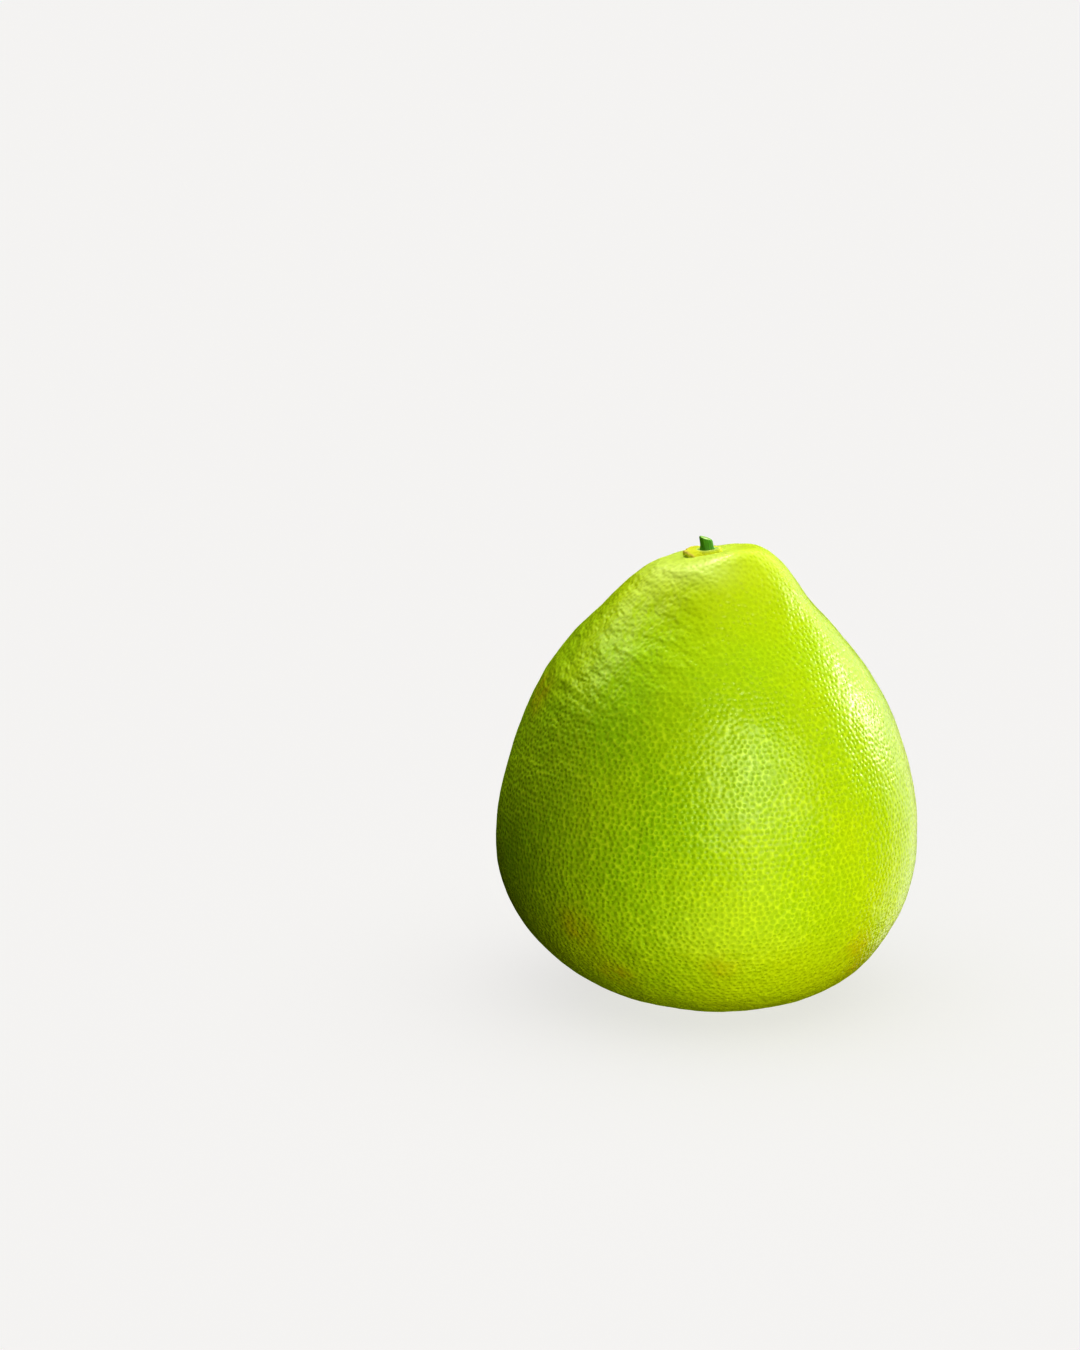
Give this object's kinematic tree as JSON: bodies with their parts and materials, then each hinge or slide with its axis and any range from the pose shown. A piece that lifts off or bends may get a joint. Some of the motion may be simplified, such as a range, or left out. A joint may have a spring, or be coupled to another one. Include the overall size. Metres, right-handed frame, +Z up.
{
  "type": "pomelo",
  "caption": "Whole pear-shaped green pomelo with a leaning crown, a dried calyx and a cut stem stub, standing on a small flat spot.",
  "frame": {"origin": "on the surface that the fruit stands on, under the middle of its outline as seen from above", "axes": "+Z up from the base to the stem, -Y the side that faces the viewer, +X to the viewer's right, the side that the crown rises to"},
  "size_m": [0.15, 0.15, 0.1667],
  "materials": {
    "rind": "waxy green rind with fine oil glands, soft gloss",
    "calyx": "dry yellow-olive sepals, matt",
    "stem": "dark green bark, satin, pale at the cut"
  },
  "bodies": {
    "root": {"fruit": "rind", "calyx": "calyx", "stem": "stem"}
  },
  "joints": []
}
